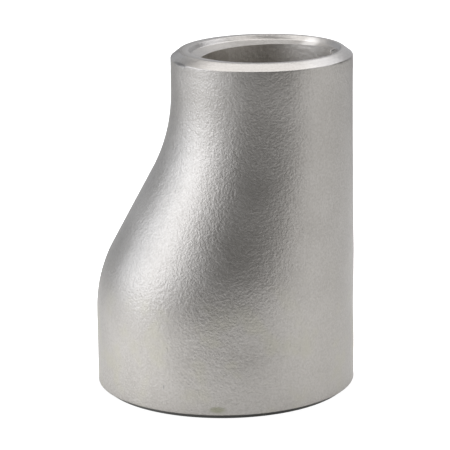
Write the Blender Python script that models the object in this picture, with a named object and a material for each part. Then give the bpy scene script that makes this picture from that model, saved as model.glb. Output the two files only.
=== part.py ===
"""Eccentric butt-weld pipe reducer, 1 1/2 inch to 1 inch, formed in one piece from seamless tube.

The large end stands on the plane z = 0 with its axis on Z. The straight side of the wall faces +X,
so the small end's axis lies off centre towards +X, and a level pipe run can drain or vent through
the reducer. Every level section, outside and inside, is a circle that spans from the sloping side
to the straight side. The body is a loft of such circles, closed at each end by a weld bevel, a flat
land and an inside chamfer.
"""

import math

import bmesh
import bpy
from mathutils import Matrix

MM = 0.001

# The pipes that the two ends are welded to, and the length over both ends.
LARGE_RADIUS = 48.3 / 2 * MM
SMALL_RADIUS = 33.4 / 2 * MM
LENGTH = 64.0 * MM

# The wall keeps the tube's thickness along the straight side. On the sloping side it thickens
# towards the small end, where the tube was squeezed most.
TUBE_WALL = 3.7 * MM
THICKENED_WALL = 5.9 * MM

# The sloping side, on the outside: a straight skirt, a shoulder arc, a straight slope, a neck arc.
SKIRT_HEIGHT = 14.5 * MM
SHOULDER_RADIUS = 26.0 * MM
NECK_RADIUS = 31.7 * MM
SLOPE = math.radians(28.7)

# The machined ends. Angles are measured from the end's plane. Inside the small end a steep
# chamfer leads to a shallow ledge, which reaches in to where the thickened wall's bore begins.
WELD_BEVEL_ANGLE = math.radians(37.5)
LARGE_BEVEL_WIDTH = 1.25 * MM
LARGE_LAND_WIDTH = 2.0 * MM
LARGE_CHAMFER_ANGLE = math.radians(41.0)
SMALL_BEVEL_WIDTH = 1.6 * MM
SMALL_LAND_WIDTH = 0.5 * MM
SMALL_CHAMFER_WIDTH = 0.5 * MM
SMALL_CHAMFER_ANGLE = math.radians(58.0)
SMALL_LEDGE_ANGLE = math.radians(14.4)

SEGMENTS = 72
ARC_STEPS = 8
SLOPE_STEPS = 4

SMALL_AXIS_X = LARGE_RADIUS - SMALL_RADIUS
STRAIGHT_X = LARGE_RADIUS
BORE_STRAIGHT_X = LARGE_RADIUS - TUBE_WALL
LARGE_BEVEL_TOP = LARGE_BEVEL_WIDTH * math.tan(WELD_BEVEL_ANGLE)
SMALL_BEVEL_FOOT = LENGTH - SMALL_BEVEL_WIDTH * math.tan(WELD_BEVEL_ANGLE)
LARGE_FACE_RADIUS = LARGE_RADIUS - LARGE_BEVEL_WIDTH
SMALL_FACE_RADIUS = SMALL_RADIUS - SMALL_BEVEL_WIDTH
LARGE_LIP_RADIUS = LARGE_FACE_RADIUS - LARGE_LAND_WIDTH
SMALL_LIP_RADIUS = SMALL_FACE_RADIUS - SMALL_LAND_WIDTH
SMALL_LEDGE_RADIUS = SMALL_LIP_RADIUS - SMALL_CHAMFER_WIDTH
SMALL_LEDGE_TOP = LENGTH - SMALL_CHAMFER_WIDTH * math.tan(SMALL_CHAMFER_ANGLE)

METAL_COLOUR = (0.60, 0.59, 0.57, 1.0)
METAL_ROUGHNESS = 0.45
SHARP_ANGLE = math.radians(20)


def clear_scene():
    for obj in list(bpy.data.objects):
        bpy.data.objects.remove(obj, do_unlink=True)


def sloping_side(start_x, end_x, shoulder_radius, neck_radius):
    """(x, z) points up the sloping side, from the top of the skirt to the foot of the neck."""
    arcs_x = (shoulder_radius + neck_radius) * (1 - math.cos(SLOPE))
    straight = (end_x - start_x - arcs_x) / math.sin(SLOPE)
    points = []
    for step in range(ARC_STEPS + 1):
        turn = SLOPE * step / ARC_STEPS
        x = start_x + shoulder_radius * (1 - math.cos(turn))
        z = SKIRT_HEIGHT + shoulder_radius * math.sin(turn)
        points.append((x, z))
    shoulder_x, shoulder_z = points[-1]
    for step in range(1, SLOPE_STEPS):
        along = straight * step / SLOPE_STEPS
        points.append((shoulder_x + along * math.sin(SLOPE), shoulder_z + along * math.cos(SLOPE)))
    neck_z = shoulder_z + straight * math.cos(SLOPE) + neck_radius * math.sin(SLOPE)
    for step in range(ARC_STEPS + 1):
        turn = SLOPE * (1 - step / ARC_STEPS)
        x = end_x - neck_radius * (1 - math.cos(turn))
        z = neck_z - neck_radius * math.sin(turn)
        points.append((x, z))
    return points


def outside_points():
    """The sloping side of the outer skin, from the large end's bevel up to the small end's."""
    large_x = -LARGE_RADIUS
    small_x = SMALL_AXIS_X - SMALL_RADIUS
    side = sloping_side(large_x, small_x, SHOULDER_RADIUS, NECK_RADIUS)
    return [(large_x, LARGE_BEVEL_TOP), *side, (small_x, SMALL_BEVEL_FOOT)]


def bore_points():
    """The sloping side of the bore, from the large end up to the small end. Each arc is the outer
    one's radius less or plus the wall, so the wall keeps its thickness square to the surface."""
    large_x = TUBE_WALL - LARGE_RADIUS
    small_x = SMALL_AXIS_X - SMALL_RADIUS + THICKENED_WALL
    side = sloping_side(large_x, small_x, SHOULDER_RADIUS - TUBE_WALL, NECK_RADIUS + THICKENED_WALL)
    return [(large_x, 0.0), *side, (small_x, LENGTH)]


def add_ring(bm, centre_x, z, radius):
    """The vertices of a new level circle, in order round it."""
    place = Matrix.Translation((centre_x, 0, z))
    return bmesh.ops.create_circle(bm, segments=SEGMENTS, radius=radius, matrix=place)["verts"]


def add_spanning_ring(bm, sloping_x, straight_x, z):
    """A level circle that touches the sloping side and the straight side."""
    return add_ring(bm, (straight_x + sloping_x) / 2, z, (straight_x - sloping_x) / 2)


def sink_to_cone(ring, axis_x, edge_radius, edge_z, fall):
    """Moves a ring of the bore to where a cone meets it. The cone starts at the edge given and
    falls this much for each step inwards. It is turned about the outside's axis, and the bore
    lies off that axis, so the line where they meet isn't level."""
    for vert in ring:
        from_axis = math.hypot(vert.co.x - axis_x, vert.co.y)
        vert.co.z = edge_z - (edge_radius - from_axis) * fall


def wall_rings(bm):
    """The rings round the wall's section, in order: up the outside and down the bore."""
    outside = [add_spanning_ring(bm, x, STRAIGHT_X, z) for x, z in outside_points()]
    bore = [add_spanning_ring(bm, x, BORE_STRAIGHT_X, z) for x, z in bore_points()]
    sink_to_cone(bore[0], 0.0, LARGE_LIP_RADIUS, 0.0, -math.tan(LARGE_CHAMFER_ANGLE))
    ledge_fall = math.tan(SMALL_LEDGE_ANGLE)
    sink_to_cone(bore[-1], SMALL_AXIS_X, SMALL_LEDGE_RADIUS, SMALL_LEDGE_TOP, ledge_fall)
    return [
        add_ring(bm, 0.0, 0.0, LARGE_LIP_RADIUS),
        add_ring(bm, 0.0, 0.0, LARGE_FACE_RADIUS),
        *outside,
        add_ring(bm, SMALL_AXIS_X, LENGTH, SMALL_FACE_RADIUS),
        add_ring(bm, SMALL_AXIS_X, LENGTH, SMALL_LIP_RADIUS),
        add_ring(bm, SMALL_AXIS_X, SMALL_LEDGE_TOP, SMALL_LEDGE_RADIUS),
        *reversed(bore),
    ]


def loft(bm, rings):
    """Joins each ring to the next, and the last to the first, by a face for each segment."""
    for ring, following in zip(rings, rings[1:] + rings[:1]):
        for i in range(SEGMENTS):
            j = (i + 1) % SEGMENTS
            bm.faces.new((ring[i], ring[j], following[j], following[i]))
    bmesh.ops.recalc_face_normals(bm, faces=bm.faces)


def blasted_metal():
    material = bpy.data.materials.new("blasted_metal")
    material.use_nodes = True
    shader = material.node_tree.nodes["Principled BSDF"]
    shader.inputs["Base Color"].default_value = METAL_COLOUR
    shader.inputs["Roughness"].default_value = METAL_ROUGHNESS
    shader.inputs["Metallic"].default_value = 1.0
    return material


def build_reducer_body(collection):
    bm = bmesh.new()
    loft(bm, wall_rings(bm))
    mesh = bpy.data.meshes.new("reducer_body")
    bm.to_mesh(mesh)
    bm.free()
    mesh.shade_smooth()
    mesh.set_sharp_from_angle(angle=SHARP_ANGLE)
    mesh.materials.append(blasted_metal())
    body = bpy.data.objects.new("reducer_body", mesh)
    collection.objects.link(body)


def main():
    clear_scene()
    collection = bpy.data.collections.new("eccentric_reducer")
    bpy.context.scene.collection.children.link(collection)
    build_reducer_body(collection)


main()
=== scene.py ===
import math

import bmesh
import bpy
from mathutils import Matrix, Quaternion, Vector


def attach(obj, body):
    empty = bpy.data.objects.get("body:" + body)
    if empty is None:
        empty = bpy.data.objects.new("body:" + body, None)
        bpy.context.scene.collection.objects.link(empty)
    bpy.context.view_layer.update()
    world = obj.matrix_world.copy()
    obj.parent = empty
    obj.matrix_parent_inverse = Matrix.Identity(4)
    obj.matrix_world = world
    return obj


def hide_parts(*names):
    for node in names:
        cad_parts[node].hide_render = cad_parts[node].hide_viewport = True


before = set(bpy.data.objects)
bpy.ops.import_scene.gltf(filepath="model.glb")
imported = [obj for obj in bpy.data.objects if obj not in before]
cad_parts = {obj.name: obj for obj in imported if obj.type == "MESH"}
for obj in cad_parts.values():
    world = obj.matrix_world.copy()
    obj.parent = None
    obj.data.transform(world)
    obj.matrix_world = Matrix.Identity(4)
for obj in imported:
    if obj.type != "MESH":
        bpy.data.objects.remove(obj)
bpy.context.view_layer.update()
bpy.ops.object.select_all(action="DESELECT")


# ---------------------------------------------------------------------------------------------
# Camera. A long lens half a metre away, a little above the fitting and turned a little towards
# its straight side, held not quite level.

MM = 0.001
LENS = 199.2
NEAREST_SEEN = 10 * MM
CAMERA_DISTANCE = 465 * MM
CAMERA_AZIMUTH = 14.3
CAMERA_ELEVATION = 14.47
CAMERA_ROLL = math.radians(-0.72)
# the point it stands off from, and the point that it looks at
ORBIT_CENTRE = Vector((0, 0, 32 * MM))
AIM = Vector((0.15 * MM, 0, 30.2 * MM))


def way_to(azimuth, elevation):
    """The direction at an azimuth from the front and an elevation above the table, in degrees."""
    a, e = math.radians(azimuth), math.radians(elevation)
    return Vector((math.sin(a) * math.cos(e), -math.cos(a) * math.cos(e), math.sin(e)))


stand = ORBIT_CENTRE + CAMERA_DISTANCE * way_to(CAMERA_AZIMUTH, CAMERA_ELEVATION)
bpy.ops.object.camera_add(location=stand)
camera = bpy.context.object
camera.name = "camera"
camera.data.lens = LENS
camera.data.clip_start = NEAREST_SEEN
looking = (AIM - camera.location).to_track_quat("-Z", "Y")
camera.rotation_euler = (looking @ Quaternion((0, 0, 1), CAMERA_ROLL)).to_euler()
bpy.context.scene.camera = camera


# ---------------------------------------------------------------------------------------------
# Table and studio light. The fitting stands on a black pad, a painted shadow under its foot, on a
# white card that widens to the right, on a grey table with a patch of painted light glowing on
# either side. Soft boxes stand all round except in front, the brightest on the left. The camera's
# exposure burns the table and the room out to white.

# the table's top lies this little below the fitting's foot, so that the two faces never coincide
TABLE_GAP = 0.02 * MM
TABLE_SIDE = 6
# half the card's width on the left, the width of its soft edge, and how fast it widens rightwards
CARD_WAIST = 70 * MM
CARD_EDGE = 60 * MM
CARD_SPREAD = 0.6
CARD_ROUGHNESS = 0.9
CARD_WHITE = (0.9, 0.9, 0.9, 1)
TABLE_GREY = (0.42, 0.42, 0.42, 1)
# half the painted-shadow pad's sizes, and the shares of them between which its edge fades; so with
# the glows of painted light
SHADOW_PAD_SIZES = Vector((24.7 * MM, 24.7 * MM, 1))
SHADOW_PAD_EDGE = (0.98, 1.02)
# the pad's black is a painted contact shadow under the fitting's foot
SHADOW_PAD_BLACK = (0.02, 0.02, 0.02, 1)
# patches of painted light: the table glows there for every ray but the camera's
GLOW_LEFT = Vector((-55 * MM, -38 * MM, 0))
GLOW_RIGHT = Vector((60 * MM, 0, 0))
GLOW_SIZES = Vector((60 * MM, 40 * MM, 1))
GLOW_EDGE = (0.4, 1.4)
GLOW_FULL = (0.45, 0.45, 0.45, 1)
GLOW_SHARE_RIGHT = 0.5
DARK = (0, 0, 0, 1)
BURNT_OUT = (1, 1, 1, 1)
LAMP_DISTANCE = 800 * MM
LAMP_AIM = Vector((0, 0, 30 * MM))
ROOM_LIGHT = 0.165
NEUTRAL = (1, 1, 1)
COOL = (0.96, 0.985, 1.04)
COLD = (0.93, 0.98, 1.07)

bpy.context.scene.view_settings.view_transform = "Standard"


class Tone:
    """One socket of a finish. Sums, differences, products and powers of tones add Math nodes."""

    def __init__(self, tree, socket=None):
        self.tree, self.socket = tree, socket

    def feed(self, node, sockets):
        """Gives each socket of a node its value, or links it to its tone."""
        for name, value in sockets.items():
            if isinstance(value, Tone):
                self.tree.links.new(value.socket, node.inputs[name])
            else:
                node.inputs[name].default_value = value

    def node(self, kind, settings, sockets, output=0):
        """Adds a node: its settings first, then the values or links of its sockets."""
        added = self.tree.nodes.new("ShaderNode" + kind)
        for name, value in settings.items():
            setattr(added, name, value)
        self.feed(added, sockets)
        return Tone(self.tree, added.outputs[output])

    def math(self, operation, *values):
        """The Math node of this operation on the values."""
        return self.node("Math", {"operation": operation}, dict(enumerate(values)))

    def __add__(self, other):
        return self.math("ADD", self, other)

    def __sub__(self, other):
        return self.math("SUBTRACT", self, other)

    def __rsub__(self, other):
        return self.math("SUBTRACT", other, self)

    def __mul__(self, other):
        return self.math("MULTIPLY", self, other)

    def __pow__(self, power):
        return self.math("POWER", self, power)

    __radd__, __rmul__ = __add__, __mul__

    def axis(self, name):
        """X, Y or Z of a place."""
        return self.node("SeparateXYZ", {}, {"Vector": self}, name)

    def away_from(self, middle, half_sizes):
        """0 at the middle of an oval and 1 on its skin."""
        offset = self.node("VectorMath", {"operation": "SUBTRACT"}, {0: self, 1: middle})
        share = self.node("VectorMath", {"operation": "DIVIDE"}, {0: offset, 1: half_sizes})
        return self.node("VectorMath", {"operation": "LENGTH"}, {0: share}, "Value")

    def stretched(self, x, y, z):
        """The place with each of its axes multiplied by its own number."""
        return self.node("VectorMath", {"operation": "MULTIPLY"}, {0: self, 1: (x, y, z)})

    def clouds(self, size, detail=2):
        """Soft random clouds of this size, about 0.5, read at this place."""
        return self.node(
            "TexNoise", {}, {"Vector": self, "Scale": 1 / size, "Detail": detail}, "Fac"
        )

    def step(self, low, high):
        """0 below low, 1 above high and smooth between."""
        sockets = {"Value": self, "From Min": low, "From Max": high}
        return self.node("MapRange", {"interpolation_type": "SMOOTHSTEP"}, sockets)

    def between(self, first, second):
        """The colour that runs from the first to the second as this goes from 0 to 1."""
        return self.node("Mix", {"data_type": "RGBA"}, {0: self, 6: first, 7: second}, 2)

    def relief(self, depth):
        """The normal of a surface that stands this deep where this is 1."""
        return self.node("Bump", {}, {"Height": self, "Distance": depth}, "Normal")


bpy.ops.mesh.primitive_plane_add(size=TABLE_SIDE, location=(0, 0, -TABLE_GAP))
floor = bpy.context.object
floor.name = "floor"
paper = bpy.data.materials.new("white_card")
paper.use_nodes = True
floor.data.materials.append(paper)
shader = paper.node_tree.nodes["Principled BSDF"]
place = Tone(paper.node_tree).node("TexCoord", {}, {}, "Object")
turned = place.node(
    "Mapping", {}, {"Vector": place, "Rotation": (0, 0, -math.radians(CAMERA_AZIMUTH))}
)
to_the_right, away = turned.axis("X"), turned.axis("Y")
spread = CARD_SPREAD * to_the_right.math("MAXIMUM", to_the_right, 0)
off_card = (away.math("ABSOLUTE", away) - spread).step(CARD_WAIST, CARD_WAIST + CARD_EDGE)
# painted shadow: the black pad under the foot
off_shadow_pad = place.away_from(Vector(), SHADOW_PAD_SIZES).step(*SHADOW_PAD_EDGE)
# painted light: glowing patches of table, seen in the fitting's reflections
left_glow = 1 - place.away_from(GLOW_LEFT, GLOW_SIZES).step(*GLOW_EDGE)
right_glow = 1 - place.away_from(GLOW_RIGHT, GLOW_SIZES).step(*GLOW_EDGE)
glow = left_glow + GLOW_SHARE_RIGHT * right_glow
seen = place.node("LightPath", {}, {}, "Is Camera Ray")
place.feed(shader, {
    "Base Color": off_shadow_pad.between(SHADOW_PAD_BLACK, off_card.between(CARD_WHITE, TABLE_GREY)),
    "Roughness": CARD_ROUGHNESS,
    "Emission Color": seen.between(glow.between(DARK, GLOW_FULL), BURNT_OUT),
    "Emission Strength": 1,
})

world = bpy.data.worlds.new("studio")
bpy.context.scene.world = world
world.use_nodes = True
room = Tone(world.node_tree)
seen = room.node("LightPath", {}, {}, "Is Camera Ray")
room.feed(world.node_tree.nodes["Background"], {
    "Color": BURNT_OUT,
    "Strength": ROOM_LIGHT + (1 - ROOM_LIGHT) * seen,
})


def softbox(name, azimuth, elevation, width, height, brightness, tint=NEUTRAL):
    """A lamp at an azimuth to the right of the camera, whose whole face has this brightness."""
    bpy.ops.object.light_add(type="AREA")
    lamp = bpy.context.object
    lamp.name = name
    way = way_to(CAMERA_AZIMUTH + azimuth, elevation)
    lamp.location = LAMP_AIM + LAMP_DISTANCE * way
    lamp.rotation_euler = way.to_track_quat("Z", "Y").to_euler()
    lamp.data.shape = "RECTANGLE"
    lamp.data.size = width
    lamp.data.size_y = height
    lamp.data.energy = brightness * math.pi * width * height
    lamp.data.color = tint
    lamp.visible_camera = False


# azimuth and elevation in degrees, width and height in metres, brightness, tint
softbox("left_front_softbox", -50, 14, 0.35, 0.5, 1.1, COOL)
softbox("left_softbox", -76, 14, 0.4, 0.5, 2.65, COOL)
softbox("left_back_softbox", -104, 14, 0.45, 0.5, 1.5, COLD)
softbox("left_high_softbox", -88, 46, 1, 0.4, 1)
softbox("back_left_softbox", -150, 14, 0.45, 0.5, 0.45, COLD)
softbox("back_softbox", 160, 14, 0.65, 0.5, 0.5, COOL)
softbox("back_high_softbox", 178, 46, 0.8, 0.4, 0.8)
softbox("right_softbox", 72, 14, 0.8, 0.5, 0.88)
softbox("right_high_softbox", 118, 46, 0.6, 0.4, 1.65, COOL)
softbox("top_softbox", 0, 90, 1.2, 0.7, 1.72)


# ---------------------------------------------------------------------------------------------
# Reducer body. One piece of seamless tube, pushed through a die that squeezed one end down to
# the smaller size while one side of the wall stayed straight. Both ends were then turned on a
# lathe for welding, and the whole fitting was blasted and pickled.

LARGE_RADIUS = 24.15 * MM
SMALL_RADIUS = 16.7 * MM
LENGTH = 64 * MM
STRAIGHT_X = LARGE_RADIUS
SMALL_AXIS_X = LARGE_RADIUS - SMALL_RADIUS

SKIRT_HEIGHT = 14.5 * MM
SHOULDER_RADIUS = 26 * MM
NECK_RADIUS = 31.7 * MM
SLOPE = math.radians(28.7)

TUBE_WALL = 3.7 * MM
THICKENED_WALL = 5.9 * MM
STRAIGHT_BORE_X = STRAIGHT_X - TUBE_WALL

WELD_BEVEL = math.tan(math.radians(37.5))
LARGE_BEVEL_WIDTH = 1.25 * MM
LARGE_LAND_WIDTH = 2 * MM
LARGE_CHAMFER = math.tan(math.radians(41))
SMALL_BEVEL_WIDTH = 1.6 * MM
SMALL_LIP_RADIUS = 13.9 * MM
SMALL_LIP_AXIS_X = SMALL_AXIS_X + 0.65 * MM
SMALL_CHAMFER_WIDTH = 0.5 * MM
SMALL_CHAMFER_DEPTH = 0.8 * MM
SMALL_BORE_DEPTH = 1.37 * MM
SMALL_BORE_TIP = math.radians(1.36)
LARGE_BEVEL_TOP = LARGE_BEVEL_WIDTH * WELD_BEVEL
SMALL_BEVEL_FOOT = LENGTH - SMALL_BEVEL_WIDTH * WELD_BEVEL

# height, reach up and down, and how far the straight side stands proud there
WALL_WAVES = (
    (26 * MM, 6 * MM, 0.1 * MM),
    (15 * MM, 4 * MM, -0.08 * MM),
    (8 * MM, 4 * MM, 0.06 * MM),
)
SMALL_END_TIP = math.radians(0.5)

# corners round each ring, the height from one ring to the next, and steps in a rounded edge
AROUND = 384
SKIN_STEP = 0.45 * MM
BORE_STEP = 1.2 * MM
ROUNDING_STEPS = 3

# the bore's own rings start at its top; what stands above the small end's foot is tipped
BORE_TOP = LENGTH - 4 * MM
SMALL_END_FOOT = BORE_TOP + 0.5 * MM

# corners nearer than this are one, and a corner this near a ring's circle is on it
MERGED_WITHIN = 0.001 * MM
ON_THE_RING = 0.01 * MM


def sloping_side(height, start_x, end_x, shoulder_radius, neck_radius):
    """x of the sloping side at a height: skirt, shoulder bend, slope, neck bend, collar."""
    bend = 1 - math.cos(SLOPE)
    straight = (end_x - start_x - (shoulder_radius + neck_radius) * bend) / math.sin(SLOPE)
    shoulder_top = SKIRT_HEIGHT + shoulder_radius * math.sin(SLOPE)
    neck_foot = shoulder_top + straight * math.cos(SLOPE)
    neck_top = neck_foot + neck_radius * math.sin(SLOPE)
    if height <= SKIRT_HEIGHT:
        return start_x
    if height <= shoulder_top:
        rise = height - SKIRT_HEIGHT
        return start_x + shoulder_radius - math.sqrt(shoulder_radius**2 - rise**2)
    if height <= neck_foot:
        return start_x + shoulder_radius * bend + (height - shoulder_top) * math.tan(SLOPE)
    if height <= neck_top:
        return end_x - neck_radius + math.sqrt(neck_radius**2 - (neck_top - height) ** 2)
    return end_x


def outside_x(height):
    """x of the outside wall's sloping side at a height."""
    end_x = SMALL_AXIS_X - SMALL_RADIUS
    return sloping_side(height, -LARGE_RADIUS, end_x, SHOULDER_RADIUS, NECK_RADIUS)


def bore_x(height):
    """x of the bore's sloping side at a height."""
    start_x = TUBE_WALL - LARGE_RADIUS
    end_x = SMALL_AXIS_X - SMALL_RADIUS + THICKENED_WALL
    shoulder = SHOULDER_RADIUS - TUBE_WALL
    return sloping_side(height, start_x, end_x, shoulder, NECK_RADIUS + THICKENED_WALL)


def wall_wave(height):
    """How far the straight side stands proud at a height, where the die let the wall wander."""
    return sum(
        proud * math.exp(-(((height - middle) / spread) ** 2))
        for middle, spread, proud in WALL_WAVES
    )


class Rim:
    """The open edge of the tube as its wall is drawn out: the newest ring, all selected."""

    def __init__(self, centre_x, height, radius):
        self.centre_x, self.height, self.radius = centre_x, height, radius
        place = (centre_x, 0, height)
        bpy.ops.mesh.primitive_circle_add(vertices=AROUND, radius=radius, location=place)
        bpy.ops.object.transform_apply()
        bpy.ops.object.mode_set(mode="EDIT")
        bpy.ops.mesh.select_all(action="SELECT")

    def pull(self, centre_x, height, radius):
        """Extrudes the rim, carries the new ring to its place and scales it to its radius."""
        step = (centre_x - self.centre_x, 0, height - self.height)
        bpy.ops.mesh.extrude_edges_move(TRANSFORM_OT_translate={"value": step})
        scale = radius / self.radius
        bpy.ops.transform.resize(value=(scale, scale, 1), center_override=(centre_x, 0, height))
        self.centre_x, self.height, self.radius = centre_x, height, radius

    def pull_between(self, sloping_x, straight_x, height):
        """Pulls to the level circle that touches both the sloping and the straight side."""
        self.pull((straight_x + sloping_x) / 2, height, (straight_x - sloping_x) / 2)

    def tip(self, angle):
        """Tips the rim about its middle, so that its straight side rises."""
        middle = (self.centre_x, 0, self.height)
        bpy.ops.transform.rotate(value=angle, orient_axis="Y", center_override=middle)


def steps(low, high, step):
    """Heights from low to high, both included, evenly and no further apart than a step."""
    count = math.ceil(abs(high - low) / step)
    return [low + (high - low) * i / count for i in range(count + 1)]


# outside wall, from the large end's weld bevel up to the small end's
rim = Rim(0, 0, LARGE_RADIUS - LARGE_BEVEL_WIDTH)
for height in steps(LARGE_BEVEL_TOP, SMALL_BEVEL_FOOT, SKIN_STEP):
    rim.pull_between(outside_x(height), STRAIGHT_X + wall_wave(height), height)

# small end: weld bevel, land, and a steep chamfer cut off centre, so the land is widest on the
# sloping side; then the shallow ledge that ends at the bore
small_face = SMALL_RADIUS - SMALL_BEVEL_WIDTH
ledge_radius = SMALL_LIP_RADIUS - SMALL_CHAMFER_WIDTH
ledge_top = LENGTH - SMALL_CHAMFER_DEPTH
rim.pull(SMALL_AXIS_X, LENGTH, small_face)
rim.pull(SMALL_LIP_AXIS_X, LENGTH, SMALL_LIP_RADIUS)
rim.pull(SMALL_LIP_AXIS_X, ledge_top, ledge_radius)
rim.pull_between(bore_x(LENGTH), STRAIGHT_BORE_X, LENGTH - SMALL_BORE_DEPTH)
rim.tip(SMALL_BORE_TIP)

# bore, down to the large end's chamfer and land, where it meets the first ring
large_face = LARGE_RADIUS - LARGE_BEVEL_WIDTH
large_lip = large_face - LARGE_LAND_WIDTH
chamfer_top = (large_lip - LARGE_RADIUS + TUBE_WALL) * LARGE_CHAMFER
for height in steps(BORE_TOP, chamfer_top, BORE_STEP):
    rim.pull_between(bore_x(height), STRAIGHT_BORE_X, height)
    if height == BORE_TOP:
        rim.tip(-SMALL_BORE_TIP)
rim.pull(0, 0, large_lip)
rim.pull(0, 0, large_face)
bpy.ops.mesh.select_all(action="SELECT")
bpy.ops.mesh.remove_doubles(threshold=MERGED_WITHIN)
bpy.ops.mesh.normals_make_consistent(inside=False)
body = bpy.context.object
body.name = "reducer"


def round_ring(axis_x, height, radius, rounding):
    """Rounds the sharp ring of edges at this height and radius."""
    bpy.ops.mesh.select_all(action="DESELECT")
    mesh = bmesh.from_edit_mesh(body.data)
    for edge in mesh.edges:
        ends = [corner.co - Vector((axis_x, 0, height)) for corner in edge.verts]
        level = all(abs(end.z) < ON_THE_RING for end in ends)
        if level and all(abs(end.length - radius) < ON_THE_RING for end in ends):
            edge.select_set(True)
    bmesh.update_edit_mesh(body.data)
    bpy.ops.mesh.bevel(offset=rounding, segments=ROUNDING_STEPS)


round_ring(0, 0, large_lip, rounding=0.1 * MM)
round_ring(0, 0, large_face, rounding=0.12 * MM)
round_ring(0, LARGE_BEVEL_TOP, LARGE_RADIUS, rounding=0.1 * MM)
round_ring(SMALL_AXIS_X, SMALL_BEVEL_FOOT, SMALL_RADIUS, rounding=0.15 * MM)
round_ring(SMALL_AXIS_X, LENGTH, small_face, rounding=0.12 * MM)
round_ring(SMALL_LIP_AXIS_X, LENGTH, SMALL_LIP_RADIUS, rounding=0.08 * MM)
round_ring(SMALL_LIP_AXIS_X, ledge_top, ledge_radius, rounding=0.15 * MM)

# the small end was turned a little out of square, so its straight side stands higher
bpy.ops.mesh.select_all(action="DESELECT")
mesh = bmesh.from_edit_mesh(body.data)
for corner in mesh.verts:
    corner.select_set(corner.co.z > SMALL_END_FOOT)
mesh.select_flush(True)
bmesh.update_edit_mesh(body.data)
bpy.ops.transform.rotate(
    value=SMALL_END_TIP, orient_axis="Y", center_override=(SMALL_AXIS_X, 0, LENGTH)
)


def knock(place, push, reach):
    """Pushes the corner nearest to a place, and with it whatever lies within reach."""
    bpy.ops.mesh.select_all(action="DESELECT")
    mesh = bmesh.from_edit_mesh(body.data)
    nearest = min(mesh.verts, key=lambda corner: (corner.co - place).length)
    nearest.select_set(True)
    bmesh.update_edit_mesh(body.data)
    bpy.ops.transform.translate(
        value=push,
        use_proportional_edit=True,
        proportional_edit_falloff="SHARP",
        proportional_size=reach,
    )


# the bore's edge runs out to a point on its sloping side
BORE_POINT = Vector((-3, -2.9, 62.1)) * MM
BORE_POINT_PUSH = Vector((-0.8, -0.2, 0)) * MM
BORE_POINT_REACH = 5 * MM
# a nick in the bore's edge on the straight side
NICK = Vector((19.7, 5.3, 62.9)) * MM
NICK_PUSH = Vector((-0.1, 0, -0.5)) * MM
NICK_REACH = 0.9 * MM
# a long shallow dent under the small end's bevel, at these angles round the end's axis
DENT_ANGLES = range(214, 228, 2)
DENT_HEIGHT = 62.7 * MM
DENT_DEPTH = 0.14 * MM
DENT_REACH = 0.5 * MM

knock(BORE_POINT, BORE_POINT_PUSH, BORE_POINT_REACH)
knock(NICK, NICK_PUSH, NICK_REACH)
for angle in DENT_ANGLES:
    outwards = Vector((math.cos(math.radians(angle)), math.sin(math.radians(angle)), 0))
    corner = Vector((SMALL_AXIS_X, 0, DENT_HEIGHT)) + SMALL_RADIUS * outwards
    knock(corner, -DENT_DEPTH * outwards, DENT_REACH)
bpy.ops.object.mode_set(mode="OBJECT")

# the finishes, in the order in which the body takes them further down
BLASTED_SKIN, TURNED_ENDS, DRAWN_BORE = range(3)
TURNED_SLANT = 0.3


def is_turned(face):
    """Whether the lathe cut this face: it is near an end and doesn't stand upright."""
    near_an_end = face.center.z > BORE_TOP or face.center.z < LARGE_BEVEL_TOP
    return near_an_end and abs(face.normal.z) > TURNED_SLANT


def faces_the_axis(face):
    """Whether a face looks inwards, at the middle of the tube at its height."""
    middle_x = (outside_x(face.center.z) + STRAIGHT_X) / 2
    outwards = face.center - Vector((middle_x, 0, face.center.z))
    return face.normal.dot(outwards) < 0


not_blasted = set()
for face in body.data.polygons:
    if is_turned(face):
        face.material_index = TURNED_ENDS
    elif faces_the_axis(face):
        face.material_index = DRAWN_BORE
    if face.material_index != BLASTED_SKIN:
        not_blasted.update(face.vertices)

# the die and the blasting leave the wall a little uneven: broad soft waves and small dents
RELIEF = "blasted_wall"
blasted = [corner.index for corner in body.data.vertices if corner.index not in not_blasted]
body.vertex_groups.new(name=RELIEF).add(blasted, 1, "REPLACE")


def roughen(name, size, depth):
    """Pushes the blasted wall in and out by clouds of this size."""
    clouds = bpy.data.textures.new(name, "CLOUDS")
    clouds.noise_scale = size
    bpy.ops.object.modifier_add(type="DISPLACE")
    displace = body.modifiers[-1]
    displace.texture = clouds
    displace.texture_coords = "LOCAL"
    displace.vertex_group = RELIEF
    displace.strength = depth
    bpy.ops.object.modifier_apply(modifier=displace.name)


roughen("die_waves", size=7 * MM, depth=0.06 * MM)
roughen("blast_dents", size=1.3 * MM, depth=0.015 * MM)
SMOOTH_BELOW = math.radians(25)
bpy.ops.object.shade_smooth_by_angle(angle=SMOOTH_BELOW)


def bare_metal(name):
    """A metal finish on the body: its shader, and a Tone of the place on the body."""
    finish = bpy.data.materials.new(name)
    finish.use_nodes = True
    body.data.materials.append(finish)
    shader = finish.node_tree.nodes["Principled BSDF"]
    shader.inputs["Metallic"].default_value = 1
    return shader, Tone(finish.node_tree).node("TexCoord", {}, {}, "Object")


# Blasted and pickled skin: a fine close grain over small lumps, in faint clouds, with an olive
# stain low down.
SKIN_LIGHT = (0.48, 0.46, 0.435, 1)
SKIN_DARK = (0.39, 0.37, 0.345, 1)
OLIVE = (0.45, 0.435, 0.36, 1)
GRAIN_SIZE = 0.38 * MM
GRAIN_SHARE = 0.6
LUMP_SIZE = 0.9 * MM
LUMP_SHARE = 0.7
PATCH_SIZE = 9 * MM
CLOUD_EDGE = (0.3, 0.7)
STAIN_SIZE = 5 * MM
STAIN_SHARE = 0.5
STAIN_EDGE = (0.5, 0.7)
SKIN_ROUGHNESS = 0.36
SKIN_ROUGHNESS_SPREAD = 0.08
SKIN_RELIEF = 0.07 * MM
# a mark fades between these shares of its half sizes
MARK_EDGE = (0.4, 1)
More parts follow.
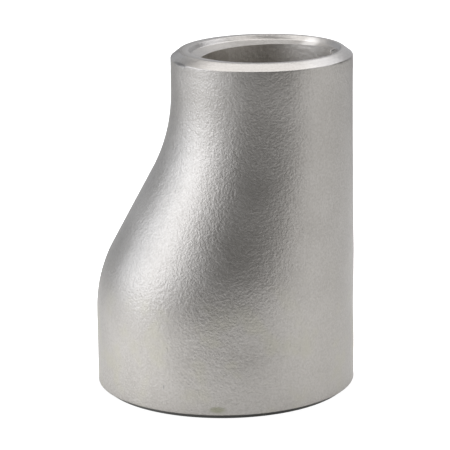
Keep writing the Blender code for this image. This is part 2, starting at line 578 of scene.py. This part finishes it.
# place, half sizes and colour of each: painted shade in the dent, a smudge at the foot, a scratch
MARKS_AND_PAINTED_SHADE = (
    # a dark patch in the dent: painted shade
    (Vector((-5.3, -10.8, 62.6)) * MM, Vector((3.4, 3.4, 0.36)) * MM, (0.24, 0.23, 0.22, 1)),
    (Vector((4.3, -23.8, 2)) * MM, Vector((1.9, 2, 0.8)) * MM, (0.33, 0.325, 0.26, 1)),
    (Vector((-5.7, -23.5, 5.6)) * MM, Vector((0.12, 1, 0.6)) * MM, (0.26, 0.26, 0.25, 1)),
)


def marked_and_shaded(place, colour):
    """The colour with the marks laid over it, the dent's painted shade among them."""
    for middle, half_sizes, mark in MARKS_AND_PAINTED_SHADE:
        colour = place.away_from(middle, half_sizes).step(*MARK_EDGE).between(mark, colour)
    return colour


shader, place = bare_metal("blasted_skin")
grain = place.clouds(GRAIN_SIZE)
lumps = place.clouds(LUMP_SIZE, detail=1)
patches = place.clouds(PATCH_SIZE, detail=3)
shade = (1 - GRAIN_SHARE) * patches + GRAIN_SHARE * grain
colour = shade.step(*CLOUD_EDGE).between(SKIN_DARK, SKIN_LIGHT)
low_down = 1 - place.axis("Z").step(SKIRT_HEIGHT, 2 * SKIRT_HEIGHT)
stain = STAIN_SHARE * low_down * place.clouds(STAIN_SIZE).step(*STAIN_EDGE)
place.feed(shader, {
    "Base Color": marked_and_shaded(place, stain.between(colour, OLIVE)),
    "Roughness": SKIN_ROUGHNESS + SKIN_ROUGHNESS_SPREAD * patches,
    "Normal": (grain + LUMP_SHARE * lumps).relief(SKIN_RELIEF),
})

# Turned ends: smoother, with faint rings left by the cutting tool. The small end has a painted
# highlight on its ledge and painted shade in its nick, and the large end is painted darker, a
# painted shadow where it stands on the table.
TURNED_LIGHT = (0.47, 0.45, 0.43, 1)
TURNED_DARK = (0.42, 0.4, 0.38, 1)
# the large end's turned faces are darkened: a painted shadow where the foot meets the table
LARGE_END_PAINTED_SHADE = (0.2, 0.195, 0.185, 1)
RING_PITCH = 0.4 * MM
RING_SHARE = 0.3
RING_RELIEF_SHARE = 0.4
TURNED_GRAIN_SIZE = 0.4 * MM
TURNED_LUMP_SIZE = 0.7 * MM
TURNED_PATCH_SIZE = 3 * MM
TURNED_ROUGHNESS = 0.3
TURNED_ROUGHNESS_SPREAD = 0.06
TURNED_RELIEF = 0.04 * MM
# a painted highlight on the small end's ledge
PAINTED_HIGHLIGHT = (0.8, 0.78, 0.76, 1)
PAINTED_HIGHLIGHT_PLACE = Vector((14.1, 11.4, 62.9)) * MM
PAINTED_HIGHLIGHT_SIZES = Vector((2.6, 2.6, 2)) * MM
PAINTED_HIGHLIGHT_EDGE = (0.3, 1)
# painted shade in the nick
NICK_PAINTED_SHADE = (0.1, 0.1, 0.1, 1)
NICK_SHADE_SIZES = Vector((0.6, 0.7, 0.8)) * MM

shader, place = bare_metal("turned_ends")
up = place.axis("Z")
upper = up.math("GREATER_THAN", up, LENGTH / 2)
across = place.axis("X") - SMALL_AXIS_X * upper
radius = (across**2 + place.axis("Y") ** 2) ** 0.5
ring_sockets = {"W": radius, "Scale": 1 / RING_PITCH, "Detail": 1}
rings = place.node("TexNoise", {"noise_dimensions": "1D"}, ring_sockets, "Fac")
shade = RING_SHARE * rings + (1 - RING_SHARE) * place.clouds(TURNED_GRAIN_SIZE)
colour = marked_and_shaded(place, shade.step(*CLOUD_EDGE).between(TURNED_DARK, TURNED_LIGHT))
# painted shadow over the large end's turned faces
colour = upper.between(LARGE_END_PAINTED_SHADE, colour)
# where the painted highlight lies
off_painted_highlight = place.away_from(PAINTED_HIGHLIGHT_PLACE, PAINTED_HIGHLIGHT_SIZES).step(*PAINTED_HIGHLIGHT_EDGE)
# where the nick's painted shade lies
off_nick_shade = place.away_from(NICK, NICK_SHADE_SIZES).step(*MARK_EDGE)
lumps = place.clouds(TURNED_LUMP_SIZE)
place.feed(shader, {
    "Base Color": off_nick_shade.between(NICK_PAINTED_SHADE, off_painted_highlight.between(PAINTED_HIGHLIGHT, colour)),
    "Roughness": TURNED_ROUGHNESS + TURNED_ROUGHNESS_SPREAD * place.clouds(TURNED_PATCH_SIZE),
    "Normal": (RING_RELIEF_SHARE * rings + lumps).relief(TURNED_RELIEF),
})

# Drawn bore: browner, mottled, streaked along the tube, and lighter on the straight side, where
# light is painted into its colour.
BORE_LIGHT = (0.66, 0.63, 0.59, 1)
BORE_DARK = (0.56, 0.53, 0.49, 1)
# painted light: the bore's straight side is made lighter
BORE_PAINTED_LIGHT = (0.86, 0.83, 0.79, 1)
PAINTED_LIGHT_FROM_X = 5 * MM
FULL_PAINTED_LIGHT_X = 11 * MM
STREAK_SIZE = 0.8 * MM
STREAK_DRAWN_OUT = 0.08
STREAK_SHARE = 0.3
MOTTLE_SIZE = 0.7 * MM
BORE_PATCH_SIZE = 5 * MM
BORE_ROUGHNESS = 0.4
BORE_ROUGHNESS_SPREAD = 0.08
BORE_RELIEF = 0.05 * MM

shader, place = bare_metal("drawn_bore")
streaks = place.stretched(1, 1, STREAK_DRAWN_OUT).clouds(STREAK_SIZE)
mottle = place.clouds(MOTTLE_SIZE, detail=3)
shade = STREAK_SHARE * streaks + (1 - STREAK_SHARE) * mottle
colour = shade.step(*CLOUD_EDGE).between(BORE_DARK, BORE_LIGHT)
# painted light, growing towards the straight side
painted_light = place.axis("X").step(PAINTED_LIGHT_FROM_X, FULL_PAINTED_LIGHT_X)
place.feed(shader, {
    "Base Color": painted_light.between(colour, BORE_PAINTED_LIGHT),
    "Roughness": BORE_ROUGHNESS + BORE_ROUGHNESS_SPREAD * place.clouds(BORE_PATCH_SIZE),
    "Normal": (STREAK_SHARE * streaks + mottle).relief(BORE_RELIEF),
})

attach(body, "root")
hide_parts("reducer_body")
